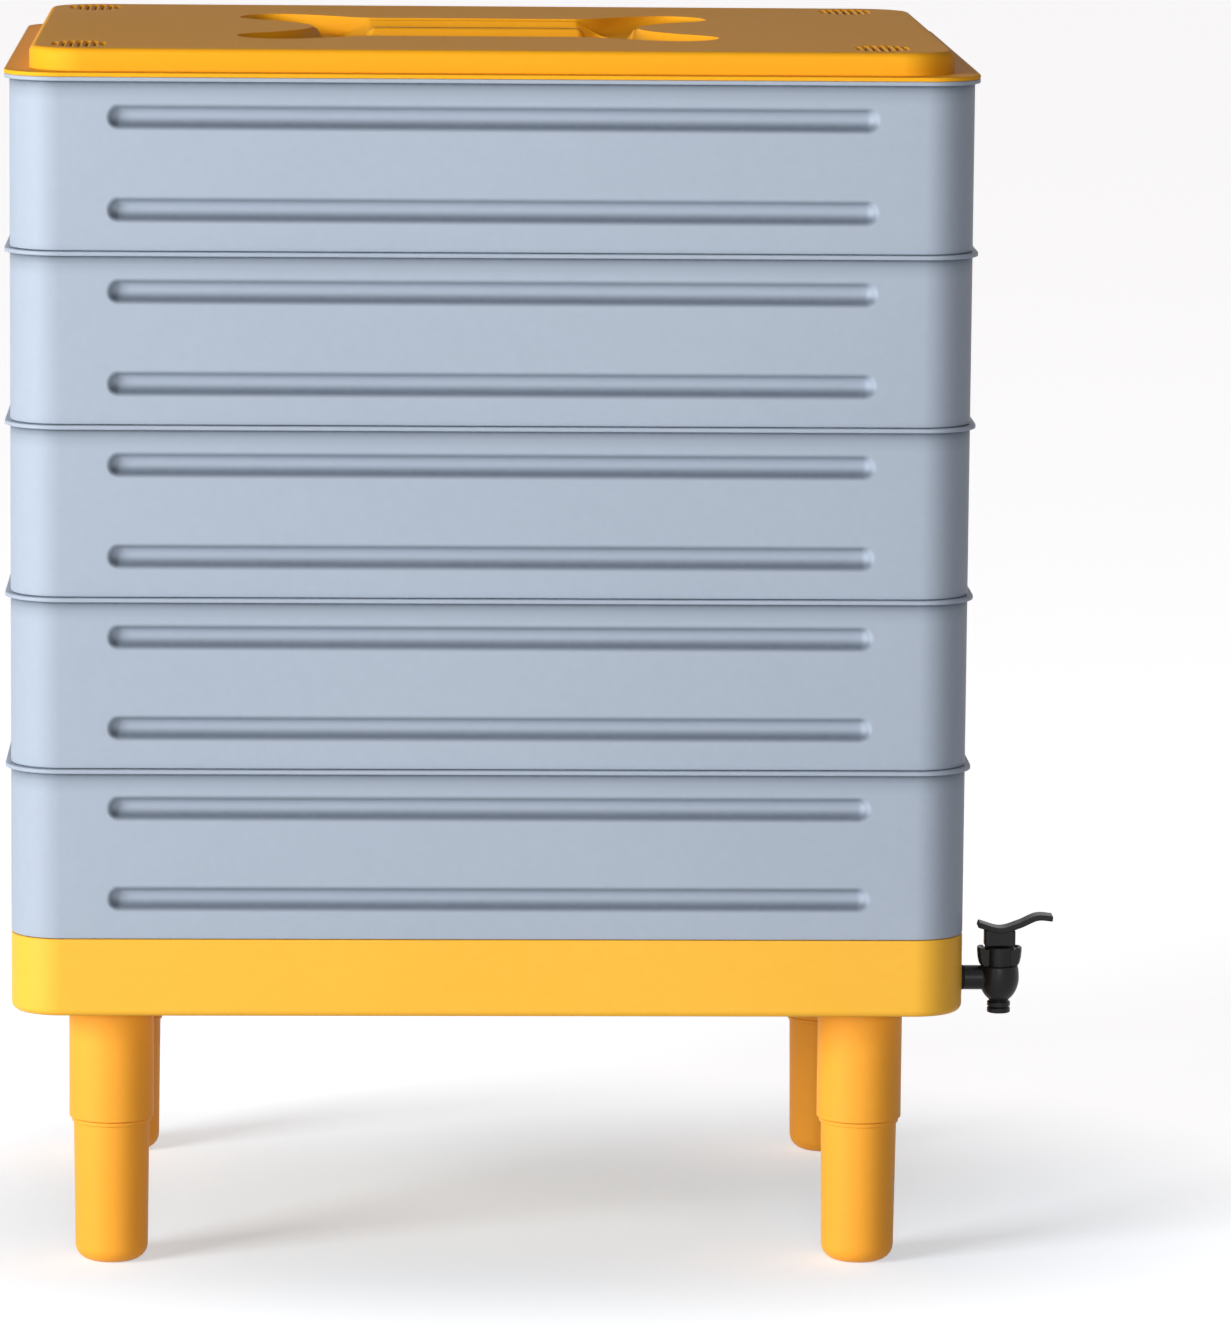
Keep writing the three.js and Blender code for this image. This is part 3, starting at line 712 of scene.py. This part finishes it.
def scoop_row(share):
    """A row of the scoops between the recess's rim and the deep part: a quarter ellipse."""
    def place(index):
        spot = rim_curve[index].lerp(well_curve[index], share)
        fall = levels[index] * math.sqrt(1 - (1 - share) ** 2)
        return Vector((spot.x, spot.y, plate_top - fall))
    return place


def wall_row(depth, inset):
    """A row of the deep part's wall, which starts where the scoops leave it."""
    def place(index):
        level = max(depth, levels[index] + 0.2 * depth / recess_depth)
        spot = well_curve[index] + inward[index] * inset * (level / depth if level > depth else 1)
        return Vector((spot.x, spot.y, plate_top - level))
    return place


for share in scoop_shares:
    loop = draw_loop(lid_shell, loop, scoop_row(share), order)
for share in (0.05, 0.45, 0.6, 0.75, recess_foot):
    loop = draw_loop(lid_shell, loop, wall_row(recess_depth * share, recess_draft * share), order)
for turn in (0.25, 0.5, 0.75, 1):
    angle = turn * math.pi / 2
    depth = recess_depth * (recess_foot + (1 - recess_foot) * math.sin(angle))
    inset = recess_draft * recess_foot + recess_foot_round * (1 - math.cos(angle))
    loop = draw_loop(lid_shell, loop, wall_row(depth, inset), order)
bmesh.ops.triangle_fill(lid_shell, use_beauty=True, edges=loop)
bmesh.ops.translate(lid_shell, vec=(recess_shift, 0, 0), verts=lid_shell.verts[:])

for side_x in (-1, 1):
    for side_y in (-1, 1):
        for number in range(vent_count):
            offset = (number - (vent_count - 1) / 2) * vent_pitch
            length = vent_length * math.sqrt(1 - (offset / (vent_count * vent_pitch / 2)) ** 2)
            centre = Vector((recess_shift + side_x * vent_x + offset, side_y * vent_y, plate_top))
            mouth = ring_of_points(lid_shell, vent_mouth / 2, vent_steps)
            edges = list({edge for vertex in mouth for edge in vertex.link_edges})
            throat = points_in(bmesh.ops.extrude_edge_only(lid_shell, edges=edges)["geom"])
            for vertex in throat:
                vertex.co *= vent_width / vent_mouth
                vertex.co.z -= vent_chamfer
            for vertex in mouth + throat:
                vertex.co.y += math.copysign((length - vent_width) / 2, vertex.co.y)
                vertex.co += centre

plate_width = body_width - 2 * plate_inset
plate_depth = body_depth - 2 * plate_inset
plate = flat_outline(plate_width, plate_depth, plate_radius, corner_steps)
plate_foot = bare_loop(plate)
for vertex in plate.verts:
    vertex.co.z = tray_gap


def on_plate(reach, height):
    """Where a point of the plate's outline goes, for draw_loop."""
    def place(point):
        spot = grown(point, plate_width, plate_depth, plate_radius, reach)
        return Vector((spot.x, spot.y, height))
    return place


loop = plate_foot
for reach, height in [(0, 1.9), (0, 5)] + quarter(-plate_edge, plate_top - plate_edge, plate_edge, 0, 7):
    loop = draw_loop(plate, loop, on_plate(reach, height))
forget_homes(plate)
lid_shell.verts.layers.int.remove(order)
add_shell(lid_shell, plate)
bmesh.ops.remove_doubles(lid_shell, verts=lid_shell.verts[:], dist=merge_distance)
top_edges = [edge for edge in lid_shell.edges if len(edge.link_faces) < 2
             and all(vertex.co.z > plate_top - merge_distance for vertex in edge.verts)]
bmesh.ops.triangle_fill(lid_shell, use_beauty=True, edges=top_edges)
bmesh.ops.recalc_face_normals(lid_shell, faces=lid_shell.faces[:])
highest = max(lid_shell.faces, key=lambda face: face.calc_area())
if highest.normal.z < 0:
    bmesh.ops.reverse_faces(lid_shell, faces=lid_shell.faces[:])

# The lid gets its thickness inwards; the plate is thicker than the rest round the mouths of the vents
inwards = lid_shell.verts.layers.float_vector.new("inwards")
lid_shell.normal_update()
for vertex in lid_shell.verts:
    beside_vent = abs(abs(vertex.co.x - recess_shift) - vent_x) < vent_reach
    at_mouth = beside_vent and vertex.co.z > plate_top - vent_band
    vertex[inwards] = (0, 0, -vent_wall) if at_mouth else vertex.normal * -lid_skin
made = bmesh.ops.extrude_face_region(lid_shell, geom=lid_shell.faces[:], use_keep_orig=True)["geom"]
for vertex in points_in(made):
    vertex.co += vertex[inwards]
lid_shell.verts.layers.float_vector.remove(inwards)

bar = flat_outline(bar_length, bar_width, bar_radius, bar_steps)
bar_foot = bare_loop(bar)
for vertex in bar.verts:
    vertex.co.z = plate_top - recess_depth - 1


def on_bar(reach, height):
    """Where a point of the bar's outline goes: the ends of its top fall away in a round."""
    def place(point):
        spot = grown(point, bar_length, bar_width, bar_radius, reach)
        past = max(0, abs(spot.x) - (bar_length / 2 - bar_end))
        fall = bar_fall * (1 - math.sqrt(1 - min(1, past / (bar_end + 0.2)) ** 2))
        return Vector((spot.x, spot.y, height - fall if height > plate_top - bar_level_part else height))
    return place


loop = bar_foot
bar_top = quarter(-bar_edge, plate_top - bar_edge, bar_edge, 0)
for reach, height in [(0, plate_top - 12), (0, plate_top - 5), *bar_top, (-bar_crown, plate_top)]:
    loop = draw_loop(bar, loop, on_bar(reach, height))
bmesh.ops.contextual_create(bar, geom=loop)
bmesh.ops.contextual_create(bar, geom=bar_foot)
bmesh.ops.translate(bar, vec=(recess_shift, 0, 0), verts=bar.verts[:])
forget_homes(bar)
add_shell(lid_shell, bar)

flange = flat_outline(body_width, body_depth, body_radius, corner_steps)
flange_start = bare_loop(flange)
for vertex in flange.verts:
    vertex.co = on_body(flange_inside, tray_gap)(vertex.co.copy())
loop = draw_profile(flange, flange_start, [
    *ring_profile[:0:-1],
    (ring_outside, flange_foot),
    (rim_reach - 0.3, flange_foot),
    (rim_reach - 0.1, flange_foot + 0.08),
    (rim_reach, flange_foot + 0.29),
    (rim_reach, flange_top - 0.6),
    (rim_reach - 0.15, flange_top - 0.15),
    (rim_reach - 0.5, flange_top),
    (flange_inside, flange_top),
])
bmesh.ops.bridge_loops(flange, edges=loop + flange_start)
forget_homes(flange)
add_shell(lid_shell, flange)

lid_place = below_top(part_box("lid"), plate_top)
fitted_piece(finished_mesh(lid_shell, "lid", amber), "vented_lid", lid_place,
             "lid", "orange_plastic", "lid")


# Tap: a small black nylon drain tap. A pipe comes out of the sump into a round bulb with a ribbed
# outlet below and a cap with two flared wings on top; an S-shaped lever stands on the cap.

pipe_radius = 5.8
thread_radius = 4.5
thread_start = -17.2
thread_end = -33.8
bulb_radius = 9.5
bulb_middle = 0.2
bulb_depth = 12.2
bulb_steps = 12
outlet_bore = 3
outlet_end = -16.7
rib_radius = 5.5
rib_root = 4.4
socket_radius = 6.1
socket_top = 12.7
bonnet_foot = 6.06
bonnet_waist = 7.1
bonnet_radius = 10.65
bonnet_top = 15
wing_width = 9.6
wing_drop = 0.1
tap_steps = 64

tap_black = moulded_plastic("tap_plastic", linear(20, 20, 21), linear(30, 30, 31), 0.38, 2600, 0.2)

tap_place = below_top(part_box("tap_bonnet"), bonnet_top)

tap_shell = bmesh.new()
lower_bulb = []
for step in range(1, bulb_steps + 1):
    angle = -math.acos(thread_radius / bulb_radius) * (1 - step / bulb_steps)
    lower_bulb.append((bulb_radius * math.cos(angle), bulb_middle + bulb_depth * math.sin(angle), 0))
add_turned(tap_shell, rounded_profile([
    (0, outlet_end + 0.7, 0),
    (outlet_bore, outlet_end + 0.7, 0),
    (outlet_bore, outlet_end, 0),
    (rib_radius, outlet_end, 0.5),
    (rib_radius, -14.4, 0.5),
    (rib_root, -13.9, 0.2),
    (rib_radius, -13.5, 0.4),
    (rib_radius, -11.5, 0.5),
    (rib_root, -11, 0.3),
    *lower_bulb,
    (9.42, 2.4, 0),
    (9.25, 4.1, 0),
    (8.9, 6, 0.7),
    (socket_radius, 6, 0.3),
    (socket_radius, socket_top, 0.4),
    (0, socket_top, 0),
], 3), tap_steps)
along_x = Matrix.Rotation(math.pi / 2, 4, "Y")
add_turned(tap_shell, rounded_profile([
    (0, thread_end, 0),
    (thread_radius, thread_end, 0.6),
    (thread_radius, thread_start, 0.2),
    (pipe_radius, thread_start, 0.5),
    (pipe_radius, -8.6, 0),
    (6.1, -7.4, 0),
    (6.8, -6.2, 0),
    (6.8, 0, 0),
    (0, 0, 0),
], 3), tap_steps, turn=along_x)
fitted_piece(finished_mesh(tap_shell, "tap", tap_black), "tap_bulb_and_pipe", tap_place,
             "base", "black_plastic", "tap_body")

cap = bmesh.new()
add_turned(cap, rounded_profile([
    (0, bonnet_foot, 0),
    (bonnet_waist, bonnet_foot, 0.1),
    (bonnet_waist, bonnet_top, 0.5),
    (0, bonnet_top, 0),
], 3), tap_steps)
wings = bmesh.new()
add_turned(wings, rounded_profile([
    (0, bonnet_foot, 0),
    (8.9, bonnet_foot, 0.3),
    (9.7, bonnet_foot + 1.1, 1),
    (10.3, bonnet_foot + 3.6, 3),
    (bonnet_radius, bonnet_foot + 7, 3),
    (bonnet_radius, bonnet_top - wing_drop, 0.4),
    (9, bonnet_top - wing_drop, 0.3),
    (8.4, bonnet_top - wing_drop - 0.8, 0.3),
    (0, bonnet_top - wing_drop - 0.8, 0),
], 4), tap_steps)
for side in (-1, 1):
    geometry = wings.verts[:] + wings.edges[:] + wings.faces[:]
    cut = bmesh.ops.bisect_plane(wings, geom=geometry, plane_co=(0, side * wing_width / 2, 0),
                                 plane_no=(0, side, 0), clear_outer=True)["geom_cut"]
    bmesh.ops.contextual_create(wings, geom=edges_in(cut))


def sharp_edges(shell, angle):
    """The edges at which two faces meet at more than an angle, in degrees."""
    return [edge for edge in shell.edges if edge.is_manifold and edge.calc_face_angle() > math.radians(angle)]


def round_edges(shell, edges, offset, steps):
    """Rounds some of a shell's edges."""
    bmesh.ops.bevel(shell, geom=edges, offset=offset, offset_type="OFFSET", segments=steps, profile=0.5,
                    affect="EDGES", clamp_overlap=True, material=-1)


rims = [edge for edge in sharp_edges(wings, 55) if abs(abs(edge.verts[0].co.y) - wing_width / 2) < same_place]
round_edges(wings, rims, 0.25, 2)
add_shell(cap, wings)
fitted_piece(finished_mesh(cap, "tap_cap", tap_black), "winged_cap", tap_place,
             "base", "black_plastic", "tap_bonnet")

lever_thickness = 2.6
lever_width = 10.4
lever_steps = 9
block_width = 14.6
block_depth = 9
block_foot = 15.3
block_top = 23.4

# The lever seen from the front: the middle of its strip, as (distance from the tap's axis, height)
lever_points = [Vector(point) for point in [(-10.4, 26), (0, 23.3), (9.2, 25.8), (17.5, 29.35),
                                            (24.98, 29.05)]]
before = 2 * lever_points[0] - lever_points[1]
after = 2 * lever_points[-1] - lever_points[-2]
spine = smooth_curve(lever_points, before, after, lever_steps)
lever = bmesh.new()
upper = []
lower = []
for index, point in enumerate(spine):
    ahead = (spine[min(index + 1, len(spine) - 1)] - spine[max(index - 1, 0)]).normalized()
    side = Vector((-ahead.y, ahead.x)) * lever_thickness / 2
    upper.append(lever.verts.new((point.x + side.x, -lever_width / 2, point.y + side.y)))
    lower.append(lever.verts.new((point.x - side.x, -lever_width / 2, point.y - side.y)))
strips = [lever.faces.new((lower[index], lower[index + 1], upper[index + 1], upper[index]))
          for index in range(len(spine) - 1)]
made = bmesh.ops.extrude_face_region(lever, geom=strips)["geom"]
bmesh.ops.translate(lever, vec=(0, lever_width, 0), verts=points_in(made))
bmesh.ops.recalc_face_normals(lever, faces=lever.faces[:])
round_edges(lever, sharp_edges(lever, 50), 0.45, 3)
block = bmesh.new()
bmesh.ops.create_cube(block, size=1)
block_height = block_top - block_foot
bmesh.ops.scale(block, vec=(block_width, block_depth, block_height), verts=block.verts[:])
round_edges(block, block.edges[:], 0.9, 4)
bmesh.ops.translate(block, vec=(0, 0, block_foot + block_height / 2), verts=block.verts[:])
add_shell(lever, block)
fitted_piece(finished_mesh(lever, "lever", tap_black), "s_lever", tap_place,
             "tap_lever", "black_plastic", "tap_lever")


# Small parts of the tap, inside it or behind the sump's wall: stem and nut in black nylon, washers and
# seal in soft rubber, spring and pin in drawn steel. All keep their CAD shape but the spring, which is
# coiled here.

seal_rubber = moulded_plastic("soft_rubber", linear(24, 24, 25), linear(36, 36, 37), 0.78, 3200, 0.3)
steel = bpy.data.materials.new("drawn_steel")
steel.use_nodes = True
steel_shader = steel.node_tree.nodes["Principled BSDF"]
steel_shader.inputs["Metallic"].default_value = 1
steel_place = Port(steel.node_tree).node("ShaderNodeTexCoord", {}, {}, "Object")
drawn = steel_place.node("ShaderNodeMapping", {}, {"Vector": steel_place, "Scale": (900, 900, 3600)})
draw_marks = drawn.noise(1, 3)
steel.node_tree.links.new(draw_marks.blend(linear(168, 172, 176), linear(204, 206, 208)).socket,
                          steel_shader.inputs["Base Color"])
steel.node_tree.links.new((0.26 + draw_marks * 0.16).socket, steel_shader.inputs["Roughness"])

for node, finish in (("valve_stem", tap_black), ("tap_nut", tap_black), ("valve_seal", seal_rubber),
                     ("outer_washer", seal_rubber), ("inner_washer", seal_rubber), ("lever_pin", steel)):
    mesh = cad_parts[node].data
    mesh.materials.clear()
    mesh.materials.append(finish)

spring_wire = 0.8
wire_steps = 12
spring_radius = 3.4
spring_turns = 5
coil_steps = 32

low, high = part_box("valve_spring")
spring_height = (high.z - low.z) / MM
spring = bmesh.new()
wire_start = Matrix.Translation((spring_radius, 0, spring_wire / 2)) @ Matrix.Rotation(math.pi / 2, 4, "X")
bmesh.ops.create_circle(spring, cap_ends=True, radius=spring_wire / 2, segments=wire_steps,
                        matrix=wire_start)
steps = spring_turns * coil_steps
bmesh.ops.spin(spring, geom=spring.faces[:], cent=(0, 0, 0), axis=(0, 0, 1), angle=2 * math.pi * spring_turns,
               dvec=(0, 0, (spring_height - spring_wire) / steps), steps=steps)
spring_place = Vector(((low.x + high.x) / 2, (low.y + high.y) / 2, low.z))
spring_piece = fitted_piece(finished_mesh(spring, "spring", steel), "coiled_spring", spring_place,
                            "base", "spring_steel", "valve_spring")
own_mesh(spring_piece)


# Floor: a plain pale studio floor that runs back out of sight. The camera and mirror images see it a
# step brighter than it is, so that it closes into the white behind and still keeps the wormery's shadow.

floor_reach = 30
shade_middle = (-0.02, -0.0375, 0)
shade_shape = (1, 1.25, 0)
shade_start = 0.1
shade_end = 0.5

floor_shell = bmesh.new()
bmesh.ops.create_grid(floor_shell, x_segments=1, y_segments=1, size=floor_reach)
floor_mesh = bpy.data.meshes.new("studio_floor")
floor_shell.to_mesh(floor_mesh)
floor_shell.free()
studio_floor = bpy.data.objects.new("studio_floor", floor_mesh)
bpy.context.scene.collection.objects.link(studio_floor)
floor_paint = bpy.data.materials.new("floor_paint")
floor_paint.use_nodes = True
floor_shader = floor_paint.node_tree.nodes["Principled BSDF"]
floor_shader.inputs["Roughness"].default_value = 0.9
floor_shader.inputs["Specular IOR Level"].default_value = 0.1
floor_shader.inputs["Emission Strength"].default_value = 1
floor_place = Port(floor_paint.node_tree).node("ShaderNodeTexCoord", {}, {}, "Object")

# Under the wormery the floor's glow is dimmer, a painted shadow that fades out in an oval round the legs
oval = floor_place.node("ShaderNodeVectorMath", {"operation": "MULTIPLY"}, {0: floor_place, 1: shade_shape})
distance = oval.node("ShaderNodeVectorMath", {"operation": "DISTANCE"}, {0: oval, 1: shade_middle}, "Value")
fade = distance.ramp(shade_start, shade_end)
shown = fade.blend((0.305, 0.375, 0.435, 1), (0.85, 0.85, 0.85, 1))


def seen_directly(port):
    """1 for the rays that show a thing itself, in the picture or in a mirror image, else 0."""
    rays = [port.node("ShaderNodeLightPath", {}, {}, kind)
            for kind in ("Is Camera Ray", "Is Glossy Ray", "Is Transmission Ray")]
    return rays[0] + rays[1] + rays[2]


seen = seen_directly(fade)
paint = seen.blend((0.6, 0.655, 0.7, 1), (0.75, 0.81, 0.86, 1))
glow = seen.blend((0.08, 0.08, 0.08, 1), shown)
floor_paint.node_tree.links.new(paint.socket, floor_shader.inputs["Base Color"])
floor_paint.node_tree.links.new(glow.socket, floor_shader.inputs["Emission Color"])
floor_mesh.materials.append(floor_paint)


# Light: one tall soft lamp on the left, and a small weak one above the camera. The surround is pale on
# the left and behind, dark on the right and dim and faintly warm overhead, and looks white itself.

lamp_aim = Vector((0, 0, 0.33))

world = bpy.data.worlds.new("studio")
bpy.context.scene.world = world
world.use_nodes = True
world_tree = world.node_tree
background = world_tree.nodes["Background"]
sky_place = Port(world_tree).node("ShaderNodeTexCoord", {}, {}, "Generated")
rightwards, backwards, upwards = (sky_place.node("ShaderNodeSeparateXYZ", {}, {0: sky_place}, axis)
                                  for axis in "XYZ")
side = rightwards.ramp(-0.4, 0.4, 0.72, 0)
back = backwards.ramp(0.35, 0.85, 0, 0.6)
walls = side.maths("MAXIMUM", side, back).blend((0, 0, 0, 1), (1, 1, 1, 1))
overhead = upwards.ramp(0, 0.5)
surround = overhead.blend(walls, (0.04, 0.01, 0.012, 1))
shine = seen_directly(overhead).blend(surround, (1, 1, 1, 1))
world_tree.links.new(shine.socket, background.inputs["Color"])

for name, size, size_y, energy, location in (("soft_key", 1.6, 1.8, 151, (-3.15, -2.3, 1.13)),
                                             ("soft_fill", 0.9, 0.5, 38, (0, -4, 0.95))):
    lamp_data = bpy.data.lights.new(name, "AREA")
    lamp_data.shape = "RECTANGLE"
    lamp_data.size = size
    lamp_data.size_y = size_y
    lamp_data.energy = energy
    lamp = bpy.data.objects.new(name, lamp_data)
    bpy.context.scene.collection.objects.link(lamp)
    lamp.location = location
    lamp.rotation_euler = (lamp_aim - lamp.location).to_track_quat("-Z", "Y").to_euler()


# Camera: a long lens in front of the wormery and a little above its lid, turned slightly to the right,
# which shows it as the photograph does.

camera_place = Vector((-0.0999, -3.8077, 0.8281))
pitch = math.radians(8.390)
yaw = math.radians(2.171)
roll = math.radians(0.501)

camera_data = bpy.data.cameras.new("camera")
camera_data.sensor_fit = "AUTO"
camera_data.sensor_width = 36
camera_data.lens = 211.0
camera_data.clip_end = 100
camera = bpy.data.objects.new("camera", camera_data)
bpy.context.scene.collection.objects.link(camera)
forward = Vector((math.sin(yaw) * math.cos(pitch), math.cos(yaw) * math.cos(pitch), -math.sin(pitch)))
right = Vector((math.cos(yaw), -math.sin(yaw), 0))
up = right.cross(forward)
right, up = math.cos(roll) * right + math.sin(roll) * up, math.cos(roll) * up - math.sin(roll) * right
turned = Matrix((right, up, -forward)).transposed()
camera.matrix_world = Matrix.Translation(camera_place) @ turned.to_4x4()
bpy.context.scene.camera = camera
bpy.context.scene.view_settings.view_transform = "Standard"
